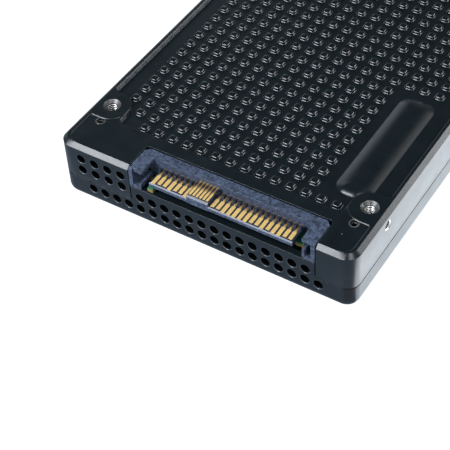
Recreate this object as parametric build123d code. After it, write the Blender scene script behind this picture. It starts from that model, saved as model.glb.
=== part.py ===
"""A 2.5 inch solid-state drive, 15 mm high, lying on its label side with its studded mounting side up.

+Z runs up through the mounting side, +Y from the connector end to the other end, +X across.
The origin is under the middle of the drive, on the face that it lies on. All sizes are in mm.
"""
from build123d import *
import os
from collections import namedtuple
from math import atan, degrees, hypot, sqrt

# outside of the drive
width = 69.85
length = 100.2
height = 15.0
corner_radius = 3.0
top_chamfer = 0.95
bottom_radius = 2.05
parting_z = 5.7
parting_groove = 0.12
weld = 0.1

# walls of the two half shells
side_wall = 1.5
end_wall = 1.5
roof = 1.1
floor = 1.3
lip_height = 1.0
lip_wall = 0.8
fit_gap = 0.1

# levels of the mounting side
rim_width = 1.6
rim_corner_radius = 2.4
band_drop = 0.15
band_length = 10.2
pad_radius = 4.0
pad_front = 4.3
pad_corner_radius = 0.5
field_drop = 0.9
field_draft = 0.4
field_corner_radius = 1.0

# studs on the mounting side
stud_pitch = 3.52
stud_columns = 17
first_stud_row = 12.0
stud_height = 0.75
stud_top = 1.35
stud_foot = 1.9
stud_clearance = 0.35
skipped_stud = (1, 0)

# raised housing over the capacitors
blister_inset = 9.525
blister_width = 7.8
blister_start = 15.5
blister_end = 47.5
blister_rise = 0.8
blister_slope = 1.5
blister_corner_radius = 2.9
blister_stud_clearance = 1.5

# screw holes that hold the drive in its bay
mount_pitch_x = 61.72
mount_from_end = 14.0
mount_from_back = 9.6
mount_drill = 2.5
mount_depth = 4.0
mount_countersink = 3.8
side_mount_from_top = 3.0
side_mount_depth = 2.3

# screws that close the case
case_screw_x = 30.15
case_screw_y = 8.8
case_screw_diameter = 2.0
case_screw_length = 8.0
case_screw_head = 3.6
case_screw_head_height = 1.1
case_screw_core = 1.6
head_recess = 0.1
screw_gap = 0.05
post_width = 7.2
post_start = 6.4
post_end = 18.4
rear_screw_y = 4.0
rear_post_end = 14.0

# vents
vent_diameter = 2.4
vent_sides = 10
cover_vent_pitch = 3.01
cover_vent_z = 3.9
riser_vent_z = 6.93
cover_vent_count = 19
riser_vent_x = -14.95
riser_vent_count = 14
case_vent_pitch = 3.33
case_vent_x = -29.3
case_vent_depth = 3.6
case_vent_drop = 3.0
case_vent_columns = 4
rear_vent_pitch = 6.0
rear_vent_count = 9

# opening for the connector
notch_left = -17.25
notch_right = 26.6
notch_depth = 7.35
notch_corner_radius = 0.8
notch_foot_radius = 1.0
riser_gap = 0.3
riser_depth = 5.3

# boards
board_thickness = 0.95
main_board_depth = 5.1
second_board_rise = 2.8
board_gap = 0.6
tab_front = 3.6
left_ear_gap = 1.2
left_ear_width = 1.3
left_ear_front = 0.3
right_ear_width = 1.9
right_ear_front = 2.3

# connector
connector_x = 4.65
frame_left = -17.1
frame_right = 26.3
frame_depth = 0.35
frame_front = 0.1
frame_bar_front = 5.05
frame_bar_back = 7.15
frame_corner_chamfer = 1.0
flange_width = 3.05
flange_thickness = 0.9
flange_front = 0.5
arm_wall = 0.9
foot_width = 2.85
foot_thickness = 0.6
foot_lip = 0.55
left_lip_rise = 1.5
right_lip_rise = 2.4
foot_lip_radius = 0.45
tongue_width = 33.4
tongue_tip = 0.03
tongue_depth = 2.1
tongue_thickness = 1.23
tongue_chamfer = 0.25
plateau_left = -3.0
plateau_right = 1.95
plateau_front = 0.1
plateau_rise = 0.8
plateau_chamfer = 0.4
comb_front = 3.5
comb_back = 4.3
comb_rise = 0.75
comb_gap = 0.06
raised_comb_rise = 0.35
housing_back = 9.2
housing_back_depth = 1.7
housing_shoulder = 1.1
peg_width = 1.0
peg_thickness = 0.4
peg_inset = 0.65
peg_length = 2.4

# contacts
contact_pitch = 1.27
narrow_pitch = 0.8
contact_width = 0.84
narrow_width = 0.5
neck_width = 0.5
neck_start = 2.8
contact_thickness = 0.15
contact_proud = 0.05
signal_x = -11.27
signal_count = 7
power_x = 2.72
power_count = 15
narrow_x = -2.58
narrow_count = 6
rear_side_count = 40
early_tip = 0.28
late_tip = 0.62
narrow_tip = 0.75
rear_side_tip = 0.9
contact_tail_back = 10.5
contact_foot = 0.9
narrow_drop_y = 6.4
early_signal = (0, 3, 6)
early_power = (2, 3, 4, 5, 6, 9, 11, 12)

# packages on the boards
chip_height = 1.0
controller_size = 17.0
controller_x = -2.0
controller_y = 29.0
memory_length = 11.0
memory_width = 9.0
memory_inset = 11.925
memory_y = (24.5, 36.5)
flash_width = 12.0
flash_length = 18.0
flash_column_count = 4
flash_inset = 12.425
flash_y = 66.0
power_chip_size = 5.0
power_inset = 17.925
power_chip_y = 41.0
inductor_size = 4.0
inductor_height = 1.6
inductor_y = (22.0, 28.0, 34.0)
crystal_length = 3.2
crystal_width = 2.5
crystal_height = 0.8
crystal_inset = 18.925
crystal_y = 43.0
pad_overhang = 0.5

# capacitors that hold the supply up
capacitor_diameter = 7.0
capacitor_length = 11.0
capacitor_start = 19.3
capacitor_step = 14.4
capacitor_count = 2
capacitor_roof_gap = 0.2
capacitor_crown = 1.0
lead_width = 0.6
lead_spacing = 2.5
lead_length = 2.8
capacitor_board_gap = 0.35

# ledges and spacers that clamp the boards, and the connector between them
ledge_grip = 1.2
ledge_start = 20.0
link_length = 24.0
link_width = 4.6
link_y = 86.0
link_socket_height = 3.0
link_blade_thickness = 1.8
link_blade_length = 21.0
link_blade_reach = 2.0
link_gap = 0.2

# places and levels that follow from the sizes
front = -length / 2
back = length / 2
half_width = width / 2
blister_x = half_width - blister_inset
band_z = height - band_drop
field_z = height - field_drop
ceiling_z = field_z - roof
case_vent_z = height - case_vent_depth
main_board_z = height - main_board_depth
second_board_z = floor + second_board_rise
frame_top = height - frame_depth
tongue_top = height - tongue_depth
housing_back_top = height - housing_back_depth
case_inside_x = half_width - side_wall
mount_x = mount_pitch_x / 2
mount_y = front + mount_from_end
mount_back_y = back - mount_from_back
board_top = main_board_z + board_thickness
second_board_top = second_board_z + board_thickness
riser_top = height - riser_depth
tongue_left = connector_x - tongue_width / 2
tongue_right = connector_x + tongue_width / 2
tongue_bottom = tongue_top - tongue_thickness
plateau_top = tongue_top + plateau_rise
board_half = case_inside_x - fit_gap - lip_wall - board_gap
housing_left = tongue_left - housing_shoulder
housing_right = tongue_right + housing_shoulder
frame_joint = frame_bar_front + weld
pocket_top = housing_back_top + 0.2
capacitor_z = field_z + blister_rise - capacitor_crown - capacitor_roof_gap - capacitor_diameter / 2
board_left = frame_left + flange_width + left_ear_gap
board_right = frame_right - flange_width - board_gap
upper_pad = ceiling_z - board_top - chip_height
lower_pad = second_board_z - chip_height - floor
memory_x = memory_inset - board_half
supply_x = board_half - power_inset
crystal_x = crystal_inset - board_half
flash_first = flash_inset - board_half
flash_pitch = -2 * flash_first / (flash_column_count - 1)
flash_columns = [flash_first + i * flash_pitch for i in range(flash_column_count)]


def box(x0, x1, y0, y1, z0, z1):
    """A block between two corners."""
    return Pos((x0 + x1) / 2, (y0 + y1) / 2, (z0 + z1) / 2) * Box(x1 - x0, y1 - y0, z1 - z0)


def rod(x, y, z0, z1, diameter):
    """An upright cylinder between two levels."""
    return Pos(x, y, (z0 + z1) / 2) * Cylinder(diameter / 2, z1 - z0)


def upright(y):
    """The plane across the drive at one place along it, with x to the right and z up."""
    return Plane(origin=(0, y, 0), x_dir=(1, 0, 0), z_dir=(0, -1, 0))


Corner = namedtuple("Corner", "side end inward hole screw post_start post_end")


def all_corners():
    """The four corners, with the places along Y of the holes and the post that each has."""
    corners = []
    for side in (-1, 1):
        screw = front + case_screw_y
        corners.append(Corner(side, front, 1, mount_y, screw, front + post_start, front + post_end))
        screw = back - rear_screw_y
        wall = back - end_wall + weld
        corners.append(Corner(side, back, -1, mount_back_y, screw, wall, back - rear_post_end))
    return corners


def stud_places():
    """Places of the studs that stand clear of the corner pads and of the raised housing."""
    rows = int((length - 2 * first_stud_row) / stud_pitch) + 1
    last = half_width - rim_width - field_draft - stud_foot / 2 - stud_clearance
    pad_reach = stud_foot / 2 * sqrt(2) + pad_radius + stud_clearance
    block_edge = mount_x - pad_radius - stud_foot / 2 - stud_clearance
    blister_reach = blister_width / 2 + blister_stud_clearance
    places = []
    for row in range(rows):
        y = front + first_stud_row + row * stud_pitch
        beside_pads = mount_y < y < mount_back_y
        beside_blister = front + blister_start < y < front + blister_end + stud_foot / 2
        for column in range(stud_columns):
            x = (column - (stud_columns - 1) / 2) * stud_pitch
            near_front = hypot(abs(x) - mount_x, y - mount_y) < pad_reach
            near_pad = near_front or hypot(abs(x) - mount_x, y - mount_back_y) < pad_reach
            in_corner = abs(x) > block_edge and not beside_pads
            by_blister = abs(x - blister_x) < blister_reach and beside_blister
            skipped = (column, row) == skipped_stud
            if abs(x) < last and not (near_pad or in_corner or by_blister or skipped):
                places.append((x, y))
    return places


def stud():
    """One stud: a low square post whose sides lean in."""
    inset = (stud_foot - stud_top) / 2
    far = stud_foot - inset
    return Rot(90, 0, 0) * Wedge(stud_foot, stud_height, stud_foot, inset, inset, far, far)


def field_outline():
    """The sunken area of the mounting side that carries the studs, seen from above."""
    inner = half_width - rim_width
    block = mount_x - pad_radius
    area = Rectangle(2 * inner, length - 2 * band_length)
    for corner in all_corners():
        hole = corner.hole
        deep = abs(hole - corner.end)
        block_x = corner.side * (block + half_width) / 2
        area -= Pos(block_x, (corner.end + hole) / 2) * Rectangle(half_width - block, deep)
        side_x = corner.side * (mount_x + half_width) / 2
        side_y = hole + corner.inward * pad_radius / 2
        area -= Pos(side_x, side_y) * Rectangle(half_width - mount_x, pad_radius)
        area -= Pos(corner.side * mount_x, hole) * Circle(pad_radius)
    end_line = length / 2 - band_length
    corners = [v for v in area.vertices() if abs(v.Y) > end_line - weld or abs(v.X) > inner - weld]
    return fillet(corners, field_corner_radius)


def band_outline(end, inward, hole):
    """The slightly lower band along one end of the mounting side, seen from above."""
    pad_line = abs(hole - end) - pad_front
    deep = pad_line - top_chamfer
    middle = end + inward * (top_chamfer + deep / 2)
    area = Pos(0, middle) * Rectangle(width - 2 * rim_width, deep)
    near_end = [v for v in area.vertices() if (v.Y - middle) * inward < 0]
    area = fillet(near_end, rim_corner_radius)
    by_pads = [v for v in area.vertices() if abs(v.Y - middle) > deep / 2 - weld and abs(v.X) > mount_x]
    area = fillet([v for v in by_pads if (v.Y - middle) * inward > 0], pad_corner_radius)
    beside = Pos(0, (end + hole) / 2) * Rectangle(2 * mount_x, abs(hole - end))
    for sx in (-1, 1):
        beside -= Pos(sx * mount_x, hole) * Circle(pad_front)
    reach = band_length + field_draft
    return area + beside + Pos(0, end + inward * reach / 2) * Rectangle(2 * (mount_x - pad_front), reach)


def band_cut(end, inward, hole):
    """What the lower band takes off the case, with the end's chamfer kept as wide as elsewhere."""
    flat = extrude(Pos(0, 0, band_z) * band_outline(end, inward, hole), band_drop + 1)
    slope = Plane.YZ * make_face(
        Polyline(
            (end - inward, band_z - top_chamfer - 1),
            (end + inward * top_chamfer, band_z),
            (end + inward * top_chamfer, band_z + 1),
            (end - inward, band_z + 1),
            close=True,
        )
    )
    return flat + extrude(Pos(-half_width, 0, 0) * slope, width)


def blister_body(grow, level, rise):
    """The raised housing's outer form, or the hollow under it, as a low block with sloping sides."""
    y0 = front + blister_start - grow
    y1 = front + blister_end + grow
    foot = RectangleRounded(blister_width + 2 * grow, y1 - y0, blister_corner_radius + grow)
    slope = degrees(atan(blister_slope / blister_rise))
    return extrude(Pos(blister_x, (y0 + y1) / 2, level) * foot, rise, taper=slope)


def post(corner, z0, z1):
    """A corner post that the case screw runs through."""
    y0, y1 = sorted((corner.post_start, corner.post_end))
    outer = case_inside_x + weld
    x0, x1 = sorted((corner.side * (outer - post_width), corner.side * outer))
    return box(x0, x1, y0, y1, z0, z1)


def ledge(sx, z0, z1):
    """A ledge along one side wall that grips the edges of the boards."""
    x0, x1 = sorted((sx * (board_half - ledge_grip), sx * (case_inside_x + weld)))
    return box(x0, x1, front + ledge_start, back - ledge_start, z0, z1)


def vent(x, end, z):
    """A vent through an end wall, drawn with few sides because it repeats."""
    outline = upright(end) * Pos(x, z) * RegularPolygon(vent_diameter / 2, vent_sides)
    return extrude(outline, 2 * end_wall, both=True)


def case_vent_places():
    """Places of the vents in the case's end wall beside the connector, as x and z."""
    columns = [case_vent_x + column * case_vent_pitch for column in range(case_vent_columns)]
    return [(x, z) for x in columns for z in (case_vent_z, case_vent_z - case_vent_drop)]


def root_piece(x, y0, y1):
    """The hollow corner between the case's rounded foot and the end wall's rounded root."""
    area = Pos(x + notch_foot_radius / 2, parting_z) * Rectangle(notch_foot_radius, 2 * notch_foot_radius)
    area -= Pos(x + notch_foot_radius, parting_z + notch_foot_radius) * Circle(notch_foot_radius)
    return extrude(upright(y0) * area, y1 - y0, dir=(0, 1, 0))


def make_case():
    """The half shell with the studs, made in one piece with its corner posts and board ledges."""
    outline = Pos(0, 0, parting_z) * RectangleRounded(width, length, corner_radius)
    body = extrude(outline, height - parting_z)
    body = chamfer(body.edges().group_by(Axis.Z)[-1], top_chamfer)
    body = chamfer(body.edges().group_by(Axis.Z)[0], parting_groove)

    inner_width = width - 2 * side_wall
    inner_length = length - 2 * end_wall
    inner_radius = corner_radius - side_wall
    hollow = Pos(0, 0, parting_z) * RectangleRounded(inner_width, inner_length, inner_radius)
    body -= extrude(hollow, ceiling_z - parting_z)
    for corner in all_corners():
        body += post(corner, parting_z, ceiling_z + weld)
    for sx in (-1, 1):
        body += ledge(sx, board_top, ceiling_z + weld)

    draft = degrees(atan(field_draft / field_drop))
    body -= extrude(Pos(0, 0, height) * field_outline(), field_drop, dir=(0, 0, -1), taper=draft)
    body -= band_cut(front, 1, mount_y)
    body -= band_cut(back, -1, mount_back_y)
    blister = blister_body(0, field_z, blister_rise)
    body += blister - rod(mount_x, mount_y, field_z - 1, height + 1, 2 * pad_radius)
    body -= blister_body(-capacitor_crown, ceiling_z, field_z + blister_rise - capacitor_crown - ceiling_z)

    pocket_back = front + contact_tail_back + contact_foot + board_gap
    body -= box(frame_left, frame_right, front + end_wall, pocket_back, ceiling_z - 1, pocket_top)
    notch = box(notch_left, notch_right, front - 1, front + notch_depth, parting_z - 1, height + 1)
    body -= fillet(notch.edges().filter_by(Axis.Z).group_by(Axis.Y)[-1], notch_corner_radius)
    body -= root_piece(notch_right, front - 1, front + end_wall)

    for x, z in case_vent_places():
        body -= vent(x, front, z)
    for corner in all_corners():
        body -= corner_holes(corner)
    return body + [Pos(x, y, field_z + stud_height / 2) * stud() for x, y in stud_places()]


def corner_holes(corner):
    """The holes of one corner: two that hold the drive in its bay, and one for the case screw."""
    x = corner.side * mount_x
    y = corner.hole
    sink = (mount_countersink - mount_drill) / 2
    holes = rod(x, y, height - mount_depth, height + 1, mount_drill)
    holes += Pos(x, y, height - sink / 2) * Cone(mount_drill / 2, mount_countersink / 2, sink)
    side_hole = Rot(0, 90, 0) * Cylinder(mount_drill / 2, side_mount_depth)
    side_x = corner.side * (half_width - side_mount_depth / 2)
    holes += Pos(side_x, y, height - side_mount_from_top) * side_hole
    return holes + rod(corner.side * case_screw_x, corner.screw, parting_z - 1, height + 1, case_screw_core)


def vent_places():
    """Places of the vents in the cover's two end walls, as x, the end of the drive and z."""
    first = -(cover_vent_count - 1) / 2 * cover_vent_pitch
    places = [(first + i * cover_vent_pitch, front, cover_vent_z) for i in range(cover_vent_count)]
    places += [(riser_vent_x + i * cover_vent_pitch, front, riser_vent_z) for i in range(riser_vent_count)]
    first = -(rear_vent_count - 1) / 2 * rear_vent_pitch
    places += [(first + i * rear_vent_pitch, back, cover_vent_z) for i in range(rear_vent_count)]
    return places


def make_cover():
    """The half shell on the label side, with the end wall that rises under the connector."""
    outline = RectangleRounded(width, length, corner_radius)
    body = extrude(outline, parting_z)
    body = fillet(body.edges().group_by(Axis.Z)[0], bottom_radius)

    inner_width = width - 2 * side_wall - 2 * (bottom_radius - floor)
    inner_length = length - 2 * end_wall
    inner_radius = corner_radius - side_wall
    hollow = Pos(0, 0, floor) * RectangleRounded(inner_width, inner_length, inner_radius)
    body -= extrude(hollow, parting_z)
    for corner in all_corners():
        body += post(corner, floor - weld, parting_z)

    riser_right = notch_right - riser_gap
    body += box(notch_left + riser_gap, riser_right, front, front + end_wall, parting_z - 1, riser_top)
    body += root_piece(riser_right, front, front + end_wall)
    for sx in (-1, 1):
        outer = sx * (case_inside_x - fit_gap)
        x0, x1 = sorted((outer, outer - sx * lip_wall))
        body += box(x0, x1, front + ledge_start, back - ledge_start, floor, parting_z + lip_height)
        body += ledge(sx, floor - weld, second_board_z)

    for x, end, z in vent_places():
        body -= vent(x, end, z)
    for corner in all_corners():
        x = corner.side * case_screw_x
        body -= rod(x, corner.screw, -1, parting_z + 1, case_screw_diameter + 2 * screw_gap)
        head_top = head_recess + case_screw_head_height
        body -= rod(x, corner.screw, -1, head_top, case_screw_head + 4 * screw_gap)
    return body


def make_case_screws():
    """Four screws that enter from the label side and close the case."""
    screws = []
    for corner in all_corners():
        x = corner.side * case_screw_x
        seat = head_recess + case_screw_head_height
        head = rod(x, corner.screw, head_recess, seat, case_screw_head)
        shank_diameter = case_screw_core - 2 * screw_gap
        screws.append(head + rod(x, corner.screw, seat - weld, seat + case_screw_length, shank_diameter))
    return screws


def arm_profile(outer, inward, lip_rise):
    """The open channel that one arm of the connector's frame has, seen from the front."""
    flange_end = outer + inward * flange_width
    web = outer + inward * arm_wall
    foot_end = outer + inward * foot_width
    lip = foot_end - inward * foot_lip
    points = [
        (outer, riser_top),
        (foot_end, riser_top),
        (foot_end, riser_top + lip_rise),
        (lip, riser_top + lip_rise),
        (lip, riser_top + foot_thickness),
        (web, riser_top + foot_thickness),
        (web, frame_top - flange_thickness),
        (flange_end, frame_top - flange_thickness),
        (flange_end, frame_top),
        (outer, frame_top),
    ]
    area = make_face(Polyline(points, close=True))
    root = [v for v in area.vertices() if abs(v.X - foot_end) < fit_gap and abs(v.Y - riser_top) < fit_gap]
    return fillet(root, foot_lip_radius)


def make_arm(outer, inward, lip_rise):
    """One guiding arm of the connector's frame, with its flange a little shorter than its web."""
    section = upright(front + frame_front) * arm_profile(outer, inward, lip_rise)
    arm = extrude(section, frame_joint - frame_front, dir=(0, 1, 0))
    x0, x1 = sorted((outer + inward * arm_wall, outer + inward * (flange_width + 1)))
    low = frame_top - flange_thickness - weld
    return arm - box(x0, x1, front - 1, front + flange_front, low, frame_top + 1)


def make_comb(centres, x0, x1, base, rise):
    """A row of teeth across the tongue, with a slot round the neck of each contact."""
    comb = box(x0, x1, front + comb_front, front + comb_back, base - weld, base + rise)
    slot = neck_width / 2 + comb_gap
    for x in centres:
        comb -= box(x - slot, x + slot, front, front + frame_bar_front, base, base + rise + 1)
    return comb


def make_housing(contacts, pegs):
    """The plug's plastic: a tongue with a raised key, a comb, a cross bar and two guiding arms."""
    bar = box(frame_left, frame_right, front + frame_bar_front, front + frame_bar_back, board_top, frame_top)
    body = chamfer(bar.edges().filter_by(Axis.Z).group_by(Axis.Y)[-1], frame_corner_chamfer)
    body += make_arm(frame_left, 1, left_lip_rise) + make_arm(frame_right, -1, right_lip_rise)

    joint = front + frame_joint
    tongue = box(tongue_left, tongue_right, front + tongue_tip, joint, tongue_bottom, tongue_top)
    tongue = chamfer(tongue.edges().filter_by(Axis.X).group_by(Axis.Y)[0], tongue_chamfer)
    tongue -= box(plateau_left, plateau_right, front - 1, joint, tongue_bottom - 1, tongue_top + 1)
    plateau = box(plateau_left, plateau_right, front + plateau_front, joint, tongue_bottom, plateau_top)
    plateau_edge = plateau.edges().filter_by(Axis.X).group_by(Axis.Y)[0].sort_by(Axis.Z)[-1]
    body += tongue + chamfer(plateau_edge, plateau_chamfer)

    signal = [signal_x + i * contact_pitch for i in range(signal_count)]
    power = [power_x + i * contact_pitch for i in range(power_count)]
    narrow = [narrow_x + i * narrow_pitch for i in range(narrow_count)]
    body += make_comb(signal + power, tongue_left, tongue_right, tongue_top, comb_rise)
    body += make_comb(narrow, plateau_left, plateau_right, plateau_top, raised_comb_rise)
    shoulder = front + frame_bar_back - weld
    body += box(housing_left, housing_right, shoulder, front + housing_back, board_top, housing_back_top)
    for piece in contacts + pegs:
        body -= piece
    return body


def strip(x, points, wide):
    """A contact bent from strip: its edge line in the YZ plane, swept sideways by its width."""
    face = make_face(Polyline([(x - wide / 2, front + y, z) for y, z in points], close=True))
    return extrude(face, wide, dir=(1, 0, 0))


def upper_contact(x, tip, wide, top, drop):
    """A contact on the upper face of the tongue, with its neck in the comb and its tail on the board."""
    low = top - contact_thickness
    exit_top = tongue_top + contact_proud
    exit_low = exit_top - contact_thickness
    tail = contact_tail_back
    foot = board_top + contact_thickness
    drop_low = narrow_drop_y - contact_thickness
    over = [(narrow_drop_y, top), (narrow_drop_y, exit_top)] if drop else []
    under = [(drop_low, exit_low), (drop_low, low)] if drop else []
    blade = [(tip, top), (neck_start, top), (neck_start, low), (tip, low)]
    run = [
        (neck_start - contact_thickness, top),
        *over,
        (tail, exit_top),
        (tail, foot),
        (tail + contact_foot, foot),
        (tail + contact_foot, board_top),
        (tail - contact_thickness, board_top),
        (tail - contact_thickness, exit_low),
        *under,
        (neck_start - contact_thickness, low),
    ]
    return strip(x, blade, wide) + strip(x, run, neck_width)


def lower_contact(x):
    """A straight contact that lies on the lower face of the tongue, up to the cross bar."""
    x0 = x - narrow_width / 2
    z0 = tongue_bottom - contact_thickness
    return box(x0, x0 + narrow_width, front + rear_side_tip, front + frame_bar_front, z0, tongue_bottom)


def make_contacts():
    """All contacts, by the group that they belong to."""
    top = tongue_top + contact_proud
    raised = plateau_top + contact_proud
    groups = {"signal_contacts": [], "power_contacts": [], "narrow_contacts": [], "rear_side_contacts": []}
    for i in range(signal_count):
        tip = early_tip if i in early_signal else late_tip
        x = signal_x + i * contact_pitch
        groups["signal_contacts"].append(upper_contact(x, tip, contact_width, top, False))
    for i in range(power_count):
        tip = early_tip if i in early_power else late_tip
        x = power_x + i * contact_pitch
        groups["power_contacts"].append(upper_contact(x, tip, contact_width, top, False))
    for i in range(narrow_count):
        x = narrow_x + i * narrow_pitch
        groups["narrow_contacts"].append(upper_contact(x, narrow_tip, narrow_width, raised, True))
    first = connector_x - (rear_side_count - 1) / 2 * narrow_pitch
    for i in range(rear_side_count):
        groups["rear_side_contacts"].append(lower_contact(first + i * narrow_pitch))
    return groups


def make_pegs():
    """Two flat metal pegs that hold the plug to the board."""
    y = front + housing_back - peg_inset
    top = board_top + peg_length / 2
    pegs = []
    for x in (housing_left + peg_inset, housing_right - peg_inset):
        pegs.append(Pos(x, y, top - peg_length / 2) * Box(peg_thickness, peg_width, peg_length))
    return pegs


def board_outline(tab):
    """A board's outline between the corner posts, with or without the tab that carries the plug."""
    across = 2 * board_half
    y0 = front + notch_depth + board_gap
    y1 = back - end_wall - board_gap
    area = Pos(0, (y0 + y1) / 2) * Rectangle(across, y1 - y0)
    post_edge = case_inside_x - post_width - board_gap
    for corner in all_corners():
        reach = abs(corner.post_end - corner.end) + board_gap
        cut_y = corner.end + corner.inward * reach / 2
        area -= Pos(corner.side * (post_edge + across / 2), cut_y) * Rectangle(across, reach)
    if tab:
        strips = [(board_left, board_right, tab_front)]
        strips.append((board_left, board_left + left_ear_width, left_ear_front))
        strips.append((board_right - right_ear_width, board_right, right_ear_front))
        for x0, x1, start in strips:
            y2 = y0 + weld
            y3 = front + start
            area += Pos((x0 + x1) / 2, (y2 + y3) / 2) * Rectangle(x1 - x0, y2 - y3)
    return area


def make_boards(pegs):
    """The main board with the plug and the capacitors, and the second board under it."""
    main = extrude(Pos(0, 0, main_board_z) * board_outline(True), board_thickness)
    second = extrude(Pos(0, 0, second_board_z) * board_outline(False), board_thickness)
    half = capacitor_diameter / 2 + capacitor_board_gap
    for i in range(capacitor_count):
        y0 = front + capacitor_start + i * capacitor_step - capacitor_board_gap
        y1 = y0 + capacitor_length + 2 * capacitor_board_gap
        main -= box(blister_x - half, blister_x + half, y0, y1, main_board_z - 1, board_top + 1)
    for peg in pegs:
        main -= peg
    return main, second


def package(x, y, wide, deep, z, tall):
    """A flat package centred on a place on a board."""
    return box(x - wide / 2, x + wide / 2, front + y - deep / 2, front + y + deep / 2, z, z + tall)


def make_packages():
    """The chips, coils and pads on the two boards, by name."""
    parts = {}
    parts["controller_chip"] = package(
        controller_x, controller_y, controller_size, controller_size, board_top, chip_height
    )
    parts["controller_pad"] = package(
        controller_x, controller_y, controller_size, controller_size, board_top + chip_height, upper_pad
    )
    for i, y in enumerate(memory_y):
        chip = package(memory_x, y, memory_width, memory_length, board_top, chip_height)
        parts[f"memory_package_{i + 1}"] = chip
    middle = (memory_y[0] + memory_y[-1]) / 2
    span = memory_y[-1] - memory_y[0] + memory_length
    parts["memory_pad"] = package(memory_x, middle, memory_width, span, board_top + chip_height, upper_pad)
    for i, x in enumerate(flash_columns):
        upper = package(x, flash_y, flash_width, flash_length, board_top, chip_height)
        lower = package(x, flash_y, flash_width, flash_length, second_board_z - chip_height, chip_height)
        parts[f"flash_package_{i + 1}"] = upper
        parts[f"flash_package_{i + 1 + len(flash_columns)}"] = lower
    middle = (flash_columns[0] + flash_columns[-1]) / 2
    across = flash_columns[-1] - flash_columns[0] + flash_width
    deep = flash_length - 2 * pad_overhang
    parts["upper_flash_pad"] = package(middle, flash_y, across, deep, board_top + chip_height, upper_pad)
    parts["lower_flash_pad"] = package(middle, flash_y, across, deep, floor, lower_pad)
    parts["power_chip"] = package(
        supply_x, power_chip_y, power_chip_size, power_chip_size, board_top, crystal_height
    )
    for i, y in enumerate(inductor_y):
        coil = package(supply_x, y, inductor_size, inductor_size, board_top, inductor_height)
        parts[f"power_coil_{i + 1}"] = coil
    parts["clock_crystal"] = package(
        crystal_x, crystal_y, crystal_length, crystal_width, board_top, crystal_height
    )
    return parts


def make_capacitors():
    """The capacitors that lie in cut-outs of the main board, each with its two leads."""
    cans = []
    for i in range(capacitor_count):
        y0 = front + capacitor_start + i * capacitor_step
        y1 = y0 + capacitor_length
        barrel = Rot(90, 0, 0) * Cylinder(capacitor_diameter / 2, capacitor_length)
        lead = Box(lead_width, lead_length + weld, lead_width)
        can = Pos(blister_x, (y0 + y1) / 2, capacitor_z) * barrel
        for side in (-1, 1):
            x = blister_x + side * lead_spacing / 2
            can += Pos(x, y1 + (lead_length - weld) / 2, board_top + lead_width / 2) * lead
        cans.append(can)
    return cans


def make_link():
    """The plug and the socket that join the two boards."""
    socket_top = second_board_top + link_socket_height
    socket = package(0, link_y, link_length, link_width, second_board_top, link_socket_height)
    slot_deep = link_blade_thickness + 2 * link_gap
    slot_length = link_blade_length + 2 * link_gap
    slot_low = socket_top - link_blade_reach - link_gap
    socket -= package(0, link_y, slot_length, slot_deep, slot_low, link_socket_height)
    plug = package(0, link_y, link_length, link_width, socket_top, main_board_z - socket_top)
    low = socket_top - link_blade_reach
    plug += package(0, link_y, link_blade_length, link_blade_thickness, low, link_blade_reach + weld)
    return plug, socket


def make_spacers():
    """Strips along the sides that keep the two boards apart."""
    y0 = front + ledge_start
    strips = []
    for x in (-board_half, board_half - ledge_grip):
        strips.append(box(x, x + ledge_grip, y0, -y0, second_board_top, main_board_z))
    return strips


def save(name, pieces):
    """Writes one sub-part, a single solid or a group of separate ones."""
    if isinstance(pieces, list):
        pieces = Compound(children=[Solid(p.solid().wrapped) for p in pieces])
    export_step(pieces, f"parts/{name}.step")


def main():
    os.makedirs("parts", exist_ok=True)
    contacts = make_contacts()
    pegs = make_pegs()
    every_contact = [piece for group in contacts.values() for piece in group]
    save("stud_side_case", make_case())
    save("label_side_cover", make_cover())
    save("connector_housing", make_housing(every_contact, pegs))
    for name, group in contacts.items():
        save(name, group)
    save("connector_pegs", pegs)
    main_board, second_board = make_boards(pegs)
    save("main_board", main_board)
    save("second_board", second_board)
    for name, piece in make_packages().items():
        save(name, piece)
    for i, can in enumerate(make_capacitors()):
        save(f"hold_up_capacitor_{i + 1}", can)
    plug, socket = make_link()
    save("board_link_plug", plug)
    save("board_link_socket", socket)
    for i, spacer in enumerate(make_spacers()):
        save(f"board_spacer_{i + 1}", spacer)
    save("case_screws", make_case_screws())


main()
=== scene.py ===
"""Looks for a 2.5 inch drive that lies on its label side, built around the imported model."""
import math

import bmesh
import bpy
import numpy as np
from mathutils import Matrix, Vector


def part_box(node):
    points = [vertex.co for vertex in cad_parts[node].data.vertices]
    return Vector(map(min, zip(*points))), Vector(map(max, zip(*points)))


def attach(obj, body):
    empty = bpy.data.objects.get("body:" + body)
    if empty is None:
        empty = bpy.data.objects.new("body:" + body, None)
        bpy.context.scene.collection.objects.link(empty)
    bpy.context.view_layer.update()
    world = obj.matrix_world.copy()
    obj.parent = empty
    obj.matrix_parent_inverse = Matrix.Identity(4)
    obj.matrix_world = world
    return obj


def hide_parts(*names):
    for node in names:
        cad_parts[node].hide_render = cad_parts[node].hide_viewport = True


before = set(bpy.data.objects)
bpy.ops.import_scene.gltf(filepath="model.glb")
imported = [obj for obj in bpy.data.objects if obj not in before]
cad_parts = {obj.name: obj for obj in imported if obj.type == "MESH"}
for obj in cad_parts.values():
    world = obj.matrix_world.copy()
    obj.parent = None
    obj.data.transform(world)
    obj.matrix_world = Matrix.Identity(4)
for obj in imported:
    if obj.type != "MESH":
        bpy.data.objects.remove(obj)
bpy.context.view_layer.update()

bl_info = {
    "name": "Bay drive",
    "version": (1, 0, 0),
    "blender": (4, 5, 0),
    "location": "View3D > Sidebar > Bay drive",
    "description": "Builds the finishes and fine shapes of a 15 mm high solid-state drive",
    "category": "Object",
}

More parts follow.
